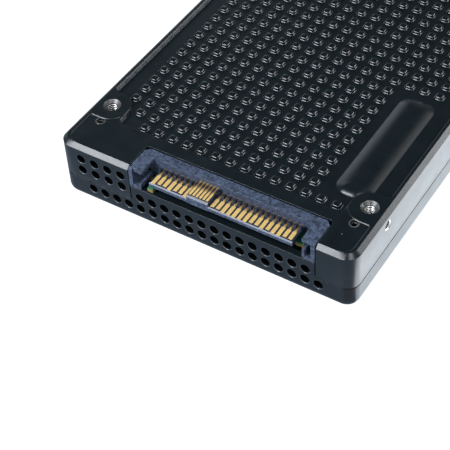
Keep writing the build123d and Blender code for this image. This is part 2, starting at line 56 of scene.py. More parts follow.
MM = 0.001
CASE_LOW, CASE_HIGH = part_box("stud_side_case")
HOUSING_LOW, HOUSING_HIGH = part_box("connector_housing")
FIELD_LEVEL = CASE_HIGH.z - 0.9 * MM
BAND_LEVEL = CASE_HIGH.z - 0.15 * MM
STUD_LEVEL = BAND_LEVEL
PARTING = CASE_LOW.z
# Places in millimetres, as the part has them: the raised housing over the capacitors, the mount holes, the
# case screws, the studs and half the reach of their field, and the vents.
RAISED_X = (21.3, 29.5)
RAISED_Y = (-34.8, -2.4)
MOUNT_X, MOUNT_Y = 30.86, (-36.1, 40.5)
SCREW_X, SCREW_Y = 30.15, (-41.3, 46.1)
SIDE_HOLE_DROP = 3.0
FIELD_X, FIELD_Y = 31, 39.5
STUD_PITCH, FIRST_STUD_ROW, HALF_STUD = 3.52, 12.0, 0.75
COVER_VENT_PITCH, BACK_VENT_PITCH, CASE_VENT_PITCH = 3.01, 6.0, 3.33
COVER_VENT_START, CASE_VENT_START = -14.95, -29.3
COVER_VENT_LEVELS, CASE_VENT_LEVELS = (3.9, 6.93), (11.4, 8.4)
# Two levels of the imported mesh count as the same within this.
SAME = 0.01 * MM
LAMP_DISTANCE = 0.5
LAMP_CENTRE = Vector((0, -0.02, 0.012))


class CaseLook(bpy.types.PropertyGroup):
    """Sizes and colours of the two half shells."""

    coat: bpy.props.FloatVectorProperty(
        name="Coat", description="Colour of the coating on both shells", subtype="COLOR",
        size=3, min=0, max=1, default=(0.0032, 0.0073, 0.0096))
    # Wear and painted highlight: the coat's rounded edges are painted in this paler colour, partly as rubbed
    # coating and partly as the highlights they catch.
    wear_and_highlight: bpy.props.FloatVectorProperty(
        name="Edge wear and highlight", description="Colour of the coating where edges are rubbed", subtype="COLOR",
        size=3, min=0, max=1, default=(0.044, 0.053, 0.064))
    # Painted shade: this colour is painted inside the vents and along the parting line, where shade falls.
    gap: bpy.props.FloatVectorProperty(
        name="Painted gap shade", description="Colour inside the vents and along the parting line", subtype="COLOR",
        size=3, min=0, max=1, default=(0.0013, 0.0018, 0.0022))
    gloss: bpy.props.FloatProperty(
        name="Roughness", description="Roughness of the coating", min=0, max=1, default=0.30)
    grain: bpy.props.FloatProperty(
        name="Grain size", description="Size of the coating's grain", unit="LENGTH",
        min=0.00001, max=0.01, default=0.00016, precision=6)
    edge: bpy.props.FloatProperty(
        name="Edge break", description="Radius that breaks the shells' edges", unit="LENGTH",
        min=0.0, max=0.001, default=0.00015, precision=6)
    stud_width: bpy.props.FloatProperty(
        name="Stud width", description="Width of a stud between its walls", unit="LENGTH",
        min=0.0005, max=0.003, default=0.00175, precision=5)
    stud_height: bpy.props.FloatProperty(
        name="Stud height", description="Height of a stud over the field", unit="LENGTH",
        min=0.0001, max=0.001, default=STUD_LEVEL - FIELD_LEVEL, precision=5)
    raised: bpy.props.FloatProperty(
        name="Raised housing", description="Height of the raised housing over the field", unit="LENGTH",
        min=0.0001, max=0.00088, default=0.00086, precision=6)
    vent_radius: bpy.props.FloatProperty(
        name="Vent radius", description="Radius of a vent inside its rounded lip", unit="LENGTH",
        min=0.0005, max=0.002, default=0.00108, precision=5)
    vent_lip: bpy.props.FloatProperty(
        name="Vent lip", description="Radius of the rounded lip of a vent", unit="LENGTH",
        min=0.00002, max=0.0003, default=0.00014, precision=5)


class HoleLook(bpy.types.PropertyGroup):
    """Sizes and colours of the screw holes and the screws."""

    metal: bpy.props.FloatVectorProperty(
        name="Bare metal", description="Colour of the cut metal in the mount holes", subtype="COLOR",
        size=3, min=0, max=1, default=(0.66, 0.645, 0.63))
    screw: bpy.props.FloatVectorProperty(
        name="Screws", description="Colour of the case screws", subtype="COLOR",
        size=3, min=0, max=1, default=(0.20, 0.20, 0.21))
    pitch: bpy.props.FloatProperty(
        name="Thread pitch", description="Distance from one thread turn to the next", unit="LENGTH",
        min=0.0002, max=0.001, default=0.0005, precision=5)
    depth: bpy.props.FloatProperty(
        name="Thread depth", description="Height of a thread turn", unit="LENGTH",
        min=0.00005, max=0.0005, default=0.00028, precision=5)


class PlugLook(bpy.types.PropertyGroup):
    """Colours of the plug and of its contacts."""

    plastic: bpy.props.FloatVectorProperty(
        name="Plastic", description="Colour of the plug's plastic", subtype="COLOR",
        size=3, min=0, max=1, default=(0.018, 0.024, 0.044))
    bloom: bpy.props.FloatVectorProperty(
        name="Plastic bloom", description="Colour of the paler patches on the plastic", subtype="COLOR",
        size=3, min=0, max=1, default=(0.088, 0.119, 0.19))
    gold: bpy.props.FloatVectorProperty(
        name="Gold", description="Colour of the contacts' plating", subtype="COLOR",
        size=3, min=0, max=1, default=(0.96, 0.66, 0.24))
    # This colour is painted on the contacts towards the back, so that they are darker there.
    back_tone: bpy.props.FloatVectorProperty(
        name="Back tone", description="Colour of the plating where it is stained", subtype="COLOR",
        size=3, min=0, max=1, default=(0.24, 0.145, 0.06))


class BoardLook(bpy.types.PropertyGroup):
    """Colours of the boards and of what is on them."""

    mask: bpy.props.FloatVectorProperty(
        name="Solder mask", description="Colour of the boards' faces", subtype="COLOR",
        size=3, min=0, max=1, default=(0.020, 0.200, 0.090))
    core: bpy.props.FloatVectorProperty(
        name="Board core", description="Colour of the boards' cut edges", subtype="COLOR",
        size=3, min=0, max=1, default=(0.22, 0.187, 0.066))
    package: bpy.props.FloatVectorProperty(
        name="Packages", description="Colour of the chips' moulding", subtype="COLOR",
        size=3, min=0, max=1, default=(0.018, 0.018, 0.020))


class StageLook(bpy.types.PropertyGroup):
    """Lamps, floor and camera."""

    key_power: bpy.props.FloatProperty(
        name="Key lamp", description="Power of the lamp at the front left", unit="POWER",
        min=0, default=3.2)
    side_power: bpy.props.FloatProperty(
        name="Side lamp", description="Power of the lamp at the back right", unit="POWER",
        min=0, default=0.90)
    back_power: bpy.props.FloatProperty(
        name="Back lamp", description="Power of the dim lamp over the side lamp", unit="POWER",
        min=0, default=0.38)
    left_power: bpy.props.FloatProperty(
        name="Left lamp", description="Power of the lamp at the back left", unit="POWER",
        min=0, default=0.19)
    corner_power: bpy.props.FloatProperty(
        name="Corner lamp", description="Power of the small lamp at the front right", unit="POWER",
        min=0, default=0.80)
    strip_power: bpy.props.FloatProperty(
        name="Table lamp", description="Power of the strip on the table to the right", unit="POWER",
        min=0, default=0.082)
    lens: bpy.props.FloatProperty(
        name="Lens", description="Focal length of the camera in millimetres",
        min=10, max=400, default=109.7836)


def set_input(node, key, value):
    """Links an input to another node's output, or gives it a plain value."""
    if isinstance(value, bpy.types.NodeSocket):
        node.id_data.links.new(value, node.inputs[key])
    else:
        node.inputs[key].default_value = value


def add_node(tree, kind, inputs=None, **settings):
    """Adds a node with its settings, and fills its inputs."""
    node = tree.nodes.new(kind)
    for name, value in settings.items():
        setattr(node, name, value)
    for key, value in (inputs or {}).items():
        set_input(node, key, value)
    return node


def math_node(tree, operation, *values, **settings):
    """The result of one sum or comparison of sockets and numbers."""
    node = add_node(tree, "ShaderNodeMath", dict(enumerate(values)), operation=operation, **settings)
    return node.outputs[0]


def new_group(name, inputs, outputs):
    """An empty shader group with its sockets, and its two end nodes."""
    tree = bpy.data.node_groups.new(name, "ShaderNodeTree")
    kinds = {"float": "NodeSocketFloat", "vector": "NodeSocketVector"}
    for label, kind, value in inputs:
        made = tree.interface.new_socket(name=label, in_out="INPUT", socket_type=kinds[kind])
        if value is not None:
            made.default_value = value
    for label, kind in outputs:
        tree.interface.new_socket(name=label, in_out="OUTPUT", socket_type=kinds[kind])
    return tree, tree.nodes.new("NodeGroupInput"), tree.nodes.new("NodeGroupOutput")


def scaled_place(tree, start, size_socket):
    """Object coordinates divided by a size, so that a pattern has that size."""
    over = math_node(tree, "DIVIDE", 1.0, size_socket)
    return add_node(tree, "ShaderNodeVectorMath", {0: start, "Scale": over}, operation="SCALE").outputs[0]


def make_grain_group():
    """Fine grain over slow patches, as moulded plastic and cured coatings have."""
    tree, start, end = new_group(
        "Surface grain",
        [("Place", "vector", None), ("Grain", "float", 0.00016), ("Patch", "float", 0.006)],
        [("Height", "float"), ("Patches", "float")],
    )
    for size, detail, roughness, result in (("Grain", 2.0, 0.55, "Height"), ("Patch", 4.0, 0.6, "Patches")):
        noise = add_node(tree, "ShaderNodeTexNoise", {
            "Vector": scaled_place(tree, start.outputs["Place"], start.outputs[size]),
            "Scale": 1.0, "Detail": detail, "Roughness": roughness,
        })
        set_input(end, result, noise.outputs["Fac"])
    return tree


def make_edge_group():
    """How far an edge is turned from its faces: 0 on a flat face, 1 on a broken edge."""
    tree, start, end = new_group(
        "Broken edge", [("Low", "float", 0.02), ("High", "float", 0.25), ("Rounded", "vector", None)],
        [("Edge", "float")],
    )
    shape = tree.nodes.new("ShaderNodeNewGeometry")
    dot = add_node(tree, "ShaderNodeVectorMath", {
        0: shape.outputs["Normal"], 1: start.outputs["Rounded"],
    }, operation="DOT_PRODUCT")
    turned = math_node(tree, "SUBTRACT", 1.0, dot.outputs["Value"])
    edge = spread_value(tree, turned, start.outputs["Low"], start.outputs["High"], 0.0, 1.0)
    set_input(end, "Edge", edge)
    return tree


def make_dust_group():
    """Sparse pale specks."""
    tree, start, end = new_group(
        "Dust specks", [("Place", "vector", None), ("Spacing", "float", 0.003), ("Speck", "float", 0.02)],
        [("Dust", "float")],
    )
    cells = add_node(tree, "ShaderNodeTexVoronoi", {
        "Vector": scaled_place(tree, start.outputs["Place"], start.outputs["Spacing"]),
        "Scale": 1.0, "Randomness": 1.0,
    }, feature="F1")
    near = math_node(tree, "LESS_THAN", cells.outputs["Distance"], start.outputs["Speck"])
    rare = add_node(tree, "ShaderNodeSeparateColor", {"Color": cells.outputs["Color"]})
    some = math_node(tree, "GREATER_THAN", rare.outputs["Red"], 0.6)
    set_input(end, "Dust", math_node(tree, "MULTIPLY", near, some))
    return tree


def use_group(tree, name, **values):
    """Places a shared shader group, which is built when it is first asked for."""
    makers = {
        "Surface grain": make_grain_group, "Broken edge": make_edge_group, "Dust specks": make_dust_group,
    }
    node = add_node(tree, "ShaderNodeGroup", node_tree=bpy.data.node_groups.get(name) or makers[name]())
    for label, value in values.items():
        set_input(node, label, value)
    return node.outputs


def mix_colours(tree, share, first, second):
    """A colour that goes from the first to the second as the share goes from 0 to 1."""
    mix = add_node(tree, "ShaderNodeMix", {0: share}, data_type="RGBA")
    ends = [s for s in mix.inputs if s.type == "RGBA"]
    for end, colour in zip(ends, (first, second)):
        if isinstance(colour, bpy.types.NodeSocket):
            tree.links.new(colour, end)
        else:
            end.default_value = (*colour, 1.0)
    return [s for s in mix.outputs if s.type == "RGBA"][0]


def spread_value(tree, value, low, high, to_low, to_high):
    """A value moved from one range to another."""
    spread = add_node(tree, "ShaderNodeMapRange", {
        "Value": value, "From Min": low, "From Max": high, "To Min": to_low, "To Max": to_high,
    }, clamp=True)
    return spread.outputs["Result"]


def make_finish(name, base, patch_colour, roughness, rough_spread=0.05, metallic=0.0, grain=0.00016,
                patch=0.006, bump=0.15, edge=0.00008, edge_colour=None, dust=0.0, ior=1.45):
    """A procedural finish: patches, grain, broken edges and dust on a Principled surface."""
    material = bpy.data.materials.new(name)
    material.use_nodes = True
    tree = material.node_tree
    tree.nodes.clear()
    surface = add_node(tree, "ShaderNodeBsdfPrincipled", {"Metallic": metallic, "IOR": ior})
    add_node(tree, "ShaderNodeOutputMaterial", {"Surface": surface.outputs[0]})
    place = tree.nodes.new("ShaderNodeTexCoord").outputs["Object"]
    grains = use_group(tree, "Surface grain", Place=place, Grain=grain, Patch=patch)
    share = spread_value(tree, grains["Patches"], 0.35, 0.65, 0.0, 1.0)
    colour = mix_colours(tree, share, base, patch_colour)
    smoothest, roughest = max(0.02, roughness - rough_spread), roughness + rough_spread
    set_input(surface, "Roughness", spread_value(tree, grains["Patches"], 0.3, 0.7, smoothest, roughest))
    lift = add_node(tree, "ShaderNodeBump", {
        "Strength": bump, "Distance": grain * 0.25, "Height": grains["Height"],
    })
    if edge:
        rounded = add_node(tree, "ShaderNodeBevel", {"Radius": edge}, samples=6).outputs["Normal"]
        set_input(lift, "Normal", rounded)
        # Where an edge colour is given, the rounded edges are painted in it: a painted highlight, and on the
        # coat also wear.
        if edge_colour is not None:
            edges = use_group(tree, "Broken edge", Rounded=rounded)
            colour = mix_colours(tree, edges["Edge"], colour, edge_colour)
    set_input(surface, "Normal", lift.outputs["Normal"])
    if dust:
        specks = use_group(tree, "Dust specks", Place=place, Speck=dust)
        colour = mix_colours(tree, specks["Dust"], colour, (0.70, 0.72, 0.74))
    set_input(surface, "Base Color", colour)
    return material


def look(name):
    """One group of sizes and colours, as the scene holds it."""
    return getattr(bpy.context.scene, name)


def times(colour, share):
    """A colour made darker or lighter by a factor."""
    return [c * share for c in colour]


def coat_finish():
    """The shells' dark satin coating, made once."""
    found = bpy.data.materials.get("Case coating")
    if found:
        return found
    case = look("case_look")
    # The coat's rounded edges take the paler edge colour: partly wear, partly painted highlight.
    material = make_finish(
        "Case coating", case.coat, times(case.coat, 1.25), case.gloss, rough_spread=0.03, grain=case.grain,
        patch=0.004, bump=0.10, edge=case.edge, edge_colour=case.wear_and_highlight, dust=0.022, ior=1.54,
    )
    # Painted shade: the walls of the vents in the front wall, and a band at the parting line, are painted in
    # the gap shade colour.
    in_front_wall = ("Y", CASE_LOW.y + 0.12 * MM, CASE_LOW.y + 1.6 * MM)
    cover_rows, case_rows = ("Z", 2.5 * MM, 8.3 * MM), ("Z", 8.3 * MM, 12.8 * MM)
    left_of_plug = ("X", -31 * MM, -17.8 * MM)
    at_parting = ("Z", PARTING - 0.05 * MM, PARTING + 0.24 * MM)
    for limits in ([cover_rows, in_front_wall], [case_rows, in_front_wall, left_of_plug], [at_parting]):
        paint_where(material, case.gap, limits)
    return material


def axes_of(tree, vector):
    """The three parts of a vector, as sockets by the names of their axes."""
    return add_node(tree, "ShaderNodeSeparateXYZ", {0: vector}).outputs


def place_in(tree):
    """Object coordinates in a finish."""
    return next(n for n in tree.nodes if n.type == "TEX_COORD").outputs["Object"]


def paint_share(tree, share, colour):
    """Mixes another colour into a finish by a share from 0 to 1."""
    surface = next(n for n in tree.nodes if n.type == "BSDF_PRINCIPLED")
    before = surface.inputs["Base Color"].links[0].from_socket
    set_input(surface, "Base Color", mix_colours(tree, share, before, colour))


def paint_where(material, colour, limits):
    """Paints another colour on the part of a finish that lies between limits along the axes."""
    tree = material.node_tree
    parts = axes_of(tree, place_in(tree))
    mask = None
    for axis, low, high in limits:
        near = math_node(tree, "COMPARE", parts[axis], (low + high) / 2, (high - low) / 2)
        mask = near if mask is None else math_node(tree, "MULTIPLY", mask, near)
    paint_share(tree, mask, colour)


def copy_of_node(node, name):
    """A merged copy of a CAD node's mesh, as a piece of its own."""
    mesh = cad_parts[node].data.copy()
    mesh.name = name
    work = bmesh.new()
    work.from_mesh(mesh)
    bmesh.ops.remove_doubles(work, verts=work.verts, dist=1e-6)
    work.to_mesh(mesh)
    work.free()
    return bpy.data.objects.new(name, mesh)


def smooth_by_angle(mesh, degrees):
    """Smooth faces with sharp edges above an angle."""
    if "custom_normal" in mesh.attributes:
        mesh.attributes.remove(mesh.attributes["custom_normal"])
    for face in mesh.polygons:
        face.use_smooth = True
    mesh.set_sharp_from_angle(angle=math.radians(degrees))


def put(piece, material, replaces=()):
    """Links a finished piece, gives it its finish and lets it ride on the drive."""
    bpy.context.scene.collection.objects.link(piece)
    piece.data.materials.clear()
    piece.data.materials.append(material)
    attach(piece, "root")
    if replaces:
        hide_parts(*replaces)


def finish_node(node, material):
    """Gives a CAD node a better finish."""
    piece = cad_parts[node]
    if not piece.material_slots:
        piece.data.materials.append(material)
    for place in piece.material_slots:
        place.material = material


def mesh_piece(name, rings, closed_top=True, closed_bottom=True):
    """A mesh from rings of points that all have as many points, joined one to the next."""
    mesh = bpy.data.meshes.new(name)
    work = bmesh.new()
    made = [[work.verts.new(p) for p in ring] for ring in rings]
    count = len(rings[0])
    for lower, upper in zip(made, made[1:]):
        for i in range(count):
            j = (i + 1) % count
            work.faces.new((lower[i], lower[j], upper[j], upper[i]))
    if closed_bottom:
        work.faces.new(tuple(reversed(made[0])))
    if closed_top:
        work.faces.new(tuple(made[-1]))
    work.normal_update()
    work.to_mesh(mesh)
    work.free()
    return bpy.data.objects.new(name, mesh)


def rounded_square(half, radius, steps, z):
    """Points of a square with rounded corners at one level, anticlockwise from above."""
    points = []
    for corner in range(4):
        turn = math.pi / 2 * corner
        centre = Vector((half - radius, half - radius, 0))
        for step in range(steps + 1):
            angle = math.pi / 2 * step / steps
            p = centre + radius * Vector((math.cos(angle), math.sin(angle), 0))
            points.append(Matrix.Rotation(turn, 3, "Z") @ p + Vector((0, 0, z)))
    return points


def lathe_rings(profile, sides):
    """Rings of points round the Z axis from a profile of radius and level."""
    return [
        [
            (r * math.cos(2 * math.pi * i / sides), r * math.sin(2 * math.pi * i / sides), z)
            for i in range(sides)
        ]
        for r, z in profile
    ]


def places_object(name, places):
    """Loose points that carry the direction that each shape faces."""
    mesh = bpy.data.meshes.new(name)
    mesh.from_pydata([p for p, _ in places], [], [])
    facing = mesh.attributes.new("facing", "FLOAT_VECTOR", "POINT")
    facing.data.foreach_set("vector", [c for _, f in places for c in f])
    piece = bpy.data.objects.new(name, mesh)
    bpy.context.scene.collection.objects.link(piece)
    return piece


def tree_with(name, inputs):
    """A geometry tree with its named inputs, and its two end nodes."""
    tree = bpy.data.node_groups.new(name, "GeometryNodeTree")
    tree.is_modifier = True
    tree.interface.new_socket(name="Geometry", in_out="INPUT", socket_type="NodeSocketGeometry")
    for label, kind in inputs:
        tree.interface.new_socket(name=label, in_out="INPUT", socket_type=kind)
    tree.interface.new_socket(name="Geometry", in_out="OUTPUT", socket_type="NodeSocketGeometry")
    return tree, tree.nodes.new("NodeGroupInput"), tree.nodes.new("NodeGroupOutput")


def set_on_points(tree, start, end, shape, **more):
    """Sets a shape on every point, turned to the point's direction, as real geometry with its finish."""
    facing = add_node(tree, "GeometryNodeInputNamedAttribute", {"Name": "facing"}, data_type="FLOAT_VECTOR")
    align = add_node(tree, "FunctionNodeAlignRotationToVector", {
        "Vector": facing.outputs["Attribute"],
    }, axis="Z")
    instances = add_node(tree, "GeometryNodeInstanceOnPoints", {
        "Points": start.outputs["Geometry"], "Instance": shape, "Rotation": align.outputs["Rotation"], **more,
    })
    real = add_node(tree, "GeometryNodeRealizeInstances", {"Geometry": instances.outputs["Instances"]})
    painted = add_node(tree, "GeometryNodeSetMaterial", {
        "Geometry": real.outputs["Geometry"], "Material": start.outputs["Material"],
    })
    set_input(end, "Geometry", painted.outputs["Geometry"])


def make_repeat_tree():
    """One shape set on every point, with its own width and height."""
    tree, start, end = tree_with(
        "Repeated shape",
        [("Shape", "NodeSocketObject"), ("Width", "NodeSocketFloat"), ("Height", "NodeSocketFloat"),
         ("Material", "NodeSocketMaterial")],
    )
    shape = add_node(tree, "GeometryNodeObjectInfo", {
        "As Instance": True, "Object": start.outputs["Shape"],
    }, transform_space="ORIGINAL")
    size = add_node(tree, "ShaderNodeCombineXYZ", {
        "X": start.outputs["Width"], "Y": start.outputs["Width"], "Z": start.outputs["Height"],
    })
    set_on_points(tree, start, end, shape.outputs["Geometry"], Scale=size.outputs["Vector"])
    return tree


def make_rim_tree():
    """A rounded lip set round every hole."""
    tree, start, end = tree_with(
        "Rounded lips",
        [("Hole Radius", "NodeSocketFloat"), ("Lip", "NodeSocketFloat"), ("Proud", "NodeSocketFloat"),
         ("Material", "NodeSocketMaterial")],
    )
    radius, lip, proud = (start.outputs[label] for label in ("Hole Radius", "Lip", "Proud"))
    circle, profile = (
        add_node(tree, "GeometryNodeCurvePrimitiveCircle", {"Resolution": points, "Radius": size})
        for points, size in ((28, math_node(tree, "ADD", radius, lip)), (8, lip))
    )
    ring = add_node(tree, "GeometryNodeCurveToMesh", {
        "Curve": circle.outputs["Curve"], "Profile Curve": profile.outputs["Curve"],
    })
    shift = add_node(tree, "ShaderNodeCombineXYZ", {"Z": math_node(tree, "SUBTRACT", proud, lip)})
    sunk = add_node(tree, "GeometryNodeTransform", {
        "Geometry": ring.outputs["Mesh"], "Translation": shift.outputs["Vector"],
    })
    set_on_points(tree, start, end, sunk.outputs["Geometry"])
    return tree


def grown_piece(name, places, tree_name, values, smooth):
    """Runs a geometry tree over the places and keeps its result as a plain mesh."""
    makers = {"Repeated shape": make_repeat_tree, "Rounded lips": make_rim_tree}
    tree = bpy.data.node_groups.get(tree_name) or makers[tree_name]()
    keys = {item.name: item.identifier for item in tree.interface.items_tree if item.in_out == "INPUT"}
    seeds = places_object(name + "_places", places)
    modifier = seeds.modifiers.new("Grow", "NODES")
    modifier.node_group = tree
    for label, value in values.items():
        modifier[keys[label]] = value
    bpy.context.view_layer.update()
    mesh = bpy.data.meshes.new_from_object(seeds.evaluated_get(bpy.context.evaluated_depsgraph_get()))
    mesh.name = name
    seeds.modifiers.remove(modifier)
    bpy.data.objects.remove(seeds)
    smooth_by_angle(mesh, smooth)
    return bpy.data.objects.new(name, mesh)


def repeated_piece(name, template, places, finish, width=1.0, height=1.0, smooth=50):
    """One piece of a template's copies on all places. The template is used up."""
    bpy.context.scene.collection.objects.link(template)
    piece = grown_piece(name, places, "Repeated shape", {
        "Shape": template, "Width": width, "Height": height, "Material": finish,
    }, smooth)
    bpy.data.objects.remove(template)
    return piece


def lips_piece(name, places, radius, lip, proud, finish):
    """One piece of the rounded lips round all holes, proud of their faces by a height."""
    return grown_piece(name, places, "Rounded lips", {
        "Hole Radius": radius, "Lip": lip, "Proud": proud, "Material": finish,
    }, 80)


def stud_places():
    """Middle of each stud on the field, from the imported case."""
    points = np.array([v.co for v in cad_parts["stud_side_case"].data.vertices])
    on_top = np.abs(points[:, 2] - STUD_LEVEL) < SAME
    inside = (np.abs(points[:, 0]) < FIELD_X * MM) & (np.abs(points[:, 1]) < FIELD_Y * MM)
    pitch = STUD_PITCH * MM
    low = CASE_LOW.y + FIRST_STUD_ROW * MM
    found = {}
    for x, y, _ in points[on_top & inside]:
        column, row = round(x / pitch), round((y - low) / pitch)
        if max(abs(x - column * pitch), abs(y - low - row * pitch)) < HALF_STUD * MM:
            found.setdefault((column, row), []).append((x, y))
    return [np.mean(np.unique(np.round(v, 7), axis=0), axis=0) for v in found.values()]


class DRIVE_OT_case(bpy.types.Operator):
    """Makes the half shell with the studs' field"""

    bl_idname = "drive.case"
    bl_label = "Stud side case"

    def execute(self, context):
        piece = copy_of_node("stud_side_case", "case_shell")
        reach = 1.0 * MM
        for x, y in stud_places():
            for v in piece.data.vertices:
                near = abs(v.co.x - x) < reach and abs(v.co.y - y) < reach
                if near and v.co.z > FIELD_LEVEL:
                    v.co.z = FIELD_LEVEL
        x0, x1 = (c * MM for c in RAISED_X)
        y0, y1 = (c * MM for c in RAISED_Y)
        broken_edge, widened = PARTING + 0.12 * MM, 0.16 * MM
        for v in piece.data.vertices:
            if x0 < v.co.x < x1 and y0 < v.co.y < y1 and FIELD_LEVEL < v.co.z < CASE_HIGH.z - 0.05 * MM:
                v.co.z = FIELD_LEVEL
            if abs(v.co.z - broken_edge) < SAME:
                v.co.z += widened
        slope_steps(piece.data, reach=0.17 * MM)
        smooth_by_angle(piece.data, degrees=24)
        put(piece, coat_finish(), ["stud_side_case"])
        return {"FINISHED"}


def slope_steps(mesh, reach):
    """Turns the upright walls between the end bands and the pads into slopes, by moving their feet out."""
    moves = {}
    for face in mesh.polygons:
        levels = [mesh.vertices[i].co.z for i in face.vertices]
        is_step = abs(min(levels) - BAND_LEVEL) < SAME and abs(max(levels) - CASE_HIGH.z) < SAME
        if is_step and abs(face.normal.z) < 0.1:
            for i in face.vertices:
                if abs(mesh.vertices[i].co.z - BAND_LEVEL) < SAME:
                    moves[i] = moves.get(i, Vector()) + face.normal
    for i, way in moves.items():
        mesh.vertices[i].co += way.normalized() * reach


class DRIVE_OT_raised(bpy.types.Operator):
    """Makes the smooth raised housing over the capacitors"""

    bl_idname = "drive.raised"
    bl_label = "Raised housing"

    def execute(self, context):
        case = look("case_look")
        x0, x1 = RAISED_X
        y0, y1 = RAISED_Y
        columns, rows = 24, 72
        corner, rise = 2.9, case.raised / MM
        side_reach, end_reach = 3.6, 1.9
        pad_radius, pad_reach, pad_curve = 4.0, 1.3, 2.2
        foot_share, foot_reach, foot_depth = 0.45, 0.8, 0.02
        middle = Vector(((x0 + x1) / 2, (y0 + y1) / 2))
        half = Vector(((x1 - x0) / 2, (y1 - y0) / 2))
        hole = Vector((MOUNT_X, MOUNT_Y[0]))
        mesh = bpy.data.meshes.new("raised_housing")
        work = bmesh.new()
        grid = []
        for j in range(rows + 1):
            line = []
            for i in range(columns + 1):
                u = math.sin(math.pi / 2 * (2 * i / columns - 1))
                v = math.sin(math.pi / 2 * (2 * j / rows - 1))
                p = middle + Vector((half.x * u, half.y * v))
                out = Vector((abs(p.x - middle.x), abs(p.y - middle.y))) - half + Vector((corner, corner))
                past = Vector((max(out.x, 0), max(out.y, 0)))
                inside = corner - past.length - min(max(out.x, out.y), 0)
                along = past.normalized().y if past.length > 0 else float(out.y > out.x)
                steep = along ** 2 if p.y < middle.y else 0
                share = min(max(inside / (side_reach - steep * (side_reach - end_reach)), 0), 1)
                level = rise * (1 - (1 - share) ** 2) * min(1, foot_share + inside / foot_reach)
                by_pad = min(max(((p - hole).length - pad_radius) / pad_reach, 0), 1)
                level *= 1 - (1 - by_pad) ** pad_curve
                line.append(work.verts.new((p.x * MM, p.y * MM, FIELD_LEVEL + (level - foot_depth) * MM)))
            grid.append(line)
        for lower, upper in zip(grid, grid[1:]):
            for i in range(columns):
                work.faces.new((lower[i], lower[i + 1], upper[i + 1], upper[i]))
        work.to_mesh(mesh)
        work.free()
        smooth_by_angle(mesh, degrees=60)
        put(bpy.data.objects.new("raised_housing", mesh), coat_finish())
        return {"FINISHED"}


class DRIVE_OT_studs(bpy.types.Operator):
    """Makes the rounded studs of the field"""

    bl_idname = "drive.studs"
    bl_label = "Studs"

    def execute(self, context):
        case = look("case_look")
        # Half width, radius of the corners and level, from the foot up. The widths are for a stud that is
        # 1.5 wide between its walls, and the level is a share of its height.
        wall = 1.5
        profile = [
            (1.00, 0.45, -0.03), (1.00, 0.45, 0.0), (0.88, 0.41, 0.05),
            (0.80, 0.37, 0.16), (0.755, 0.33, 0.31), (0.72, 0.30, 0.64),
            (0.69, 0.28, 0.80), (0.61, 0.24, 0.94), (0.50, 0.18, 1.0),
        ]
        rings = [
            rounded_square(half / wall, radius / wall, steps=3, z=level) for half, radius, level in profile
        ]
        finish = make_finish(
            "Stud coating", case.coat, case.coat, case.gloss * 0.55, rough_spread=0.02, grain=case.grain,
            bump=0.02, edge=0, ior=1.68,
        )
        places = [((x, y, FIELD_LEVEL), (0, 0, 1)) for x, y in stud_places()]
        template = mesh_piece("stud_shape", rings, closed_bottom=False)
        piece = repeated_piece(
            "studs", template, places, finish, case.stud_width, case.stud_height, smooth=70,
        )
        put(piece, finish)
        return {"FINISHED"}


class DRIVE_OT_cover(bpy.types.Operator):
    """Makes the half shell that the drive lies on"""

    bl_idname = "drive.cover"
    bl_label = "Label side cover"

    def execute(self, context):
        piece = copy_of_node("label_side_cover", "cover_shell")
        smooth_by_angle(piece.data, degrees=24)
        put(piece, coat_finish(), ["label_side_cover"])
        return {"FINISHED"}


def vent_places():
    """Middle of each vent in an end wall, with the way it faces, worked out as the part does."""
    front, back = CASE_LOW.y, CASE_HIGH.y
    low, high = COVER_VENT_LEVELS
    cover = [((i - 9) * COVER_VENT_PITCH, low, front) for i in range(19)]
    cover += [(COVER_VENT_START + i * COVER_VENT_PITCH, high, front) for i in range(14)]
    cover += [((i - 4) * BACK_VENT_PITCH, low, back) for i in range(9)]
    case = [(CASE_VENT_START + i * CASE_VENT_PITCH, z, front) for i in range(4) for z in CASE_VENT_LEVELS]
    return [
        [((x * MM, y, z * MM), (0, -1 if y < 0 else 1, 0)) for x, z, y in group] for group in (cover, case)
    ]


class DRIVE_OT_vents(bpy.types.Operator):
    """Makes the rounded lips of the vents in both shells"""

    bl_idname = "drive.vents"
    bl_label = "Vent lips"

    def execute(self, context):
        case = look("case_look")
        # Wear and painted highlight: the vent lips are painted paler than the coat, as rubbed coating that
        # catches light.
        wear_and_highlight = make_finish(
            "Vent lip wear and highlight", times(case.wear_and_highlight, 1.6), case.wear_and_highlight, case.gloss, rough_spread=0.02,
            grain=case.grain, bump=0.05, edge=0, ior=1.8,
        )
        for name, places in zip(("cover_vent_lips", "case_vent_lips"), vent_places()):
            piece = lips_piece(name, places, case.vent_radius, case.vent_lip, 0.0, wear_and_highlight)
            put(piece, wear_and_highlight)
        return {"FINISHED"}


def corner_places():
    """Places of the mount holes in the top and in the sides, and of the case screws."""
    top, sides, screws = [], [], []
    for side in (-1, 1):
        for y, screw in zip(MOUNT_Y, SCREW_Y):
            top.append(((side * MOUNT_X * MM, y * MM, CASE_HIGH.z), (0, 0, 1)))
            sides.append(((side * CASE_HIGH.x, y * MM, CASE_HIGH.z - SIDE_HOLE_DROP * MM), (side, 0, 0)))
            screws.append((side * SCREW_X * MM, screw * MM))
    return top, sides, screws


def thread_profile(start, depth, pitch, wide, narrow):
    """Radius and level of a threaded wall, from its mouth down."""
    profile = []
    level = start
    to_crest, to_root = pitch * 0.45, pitch * 0.9
    while level - pitch > -depth:
        profile += [(wide, level), (narrow, level - to_crest), (wide, level - to_root)]
        level -= pitch
    return profile + [(wide, -depth)]


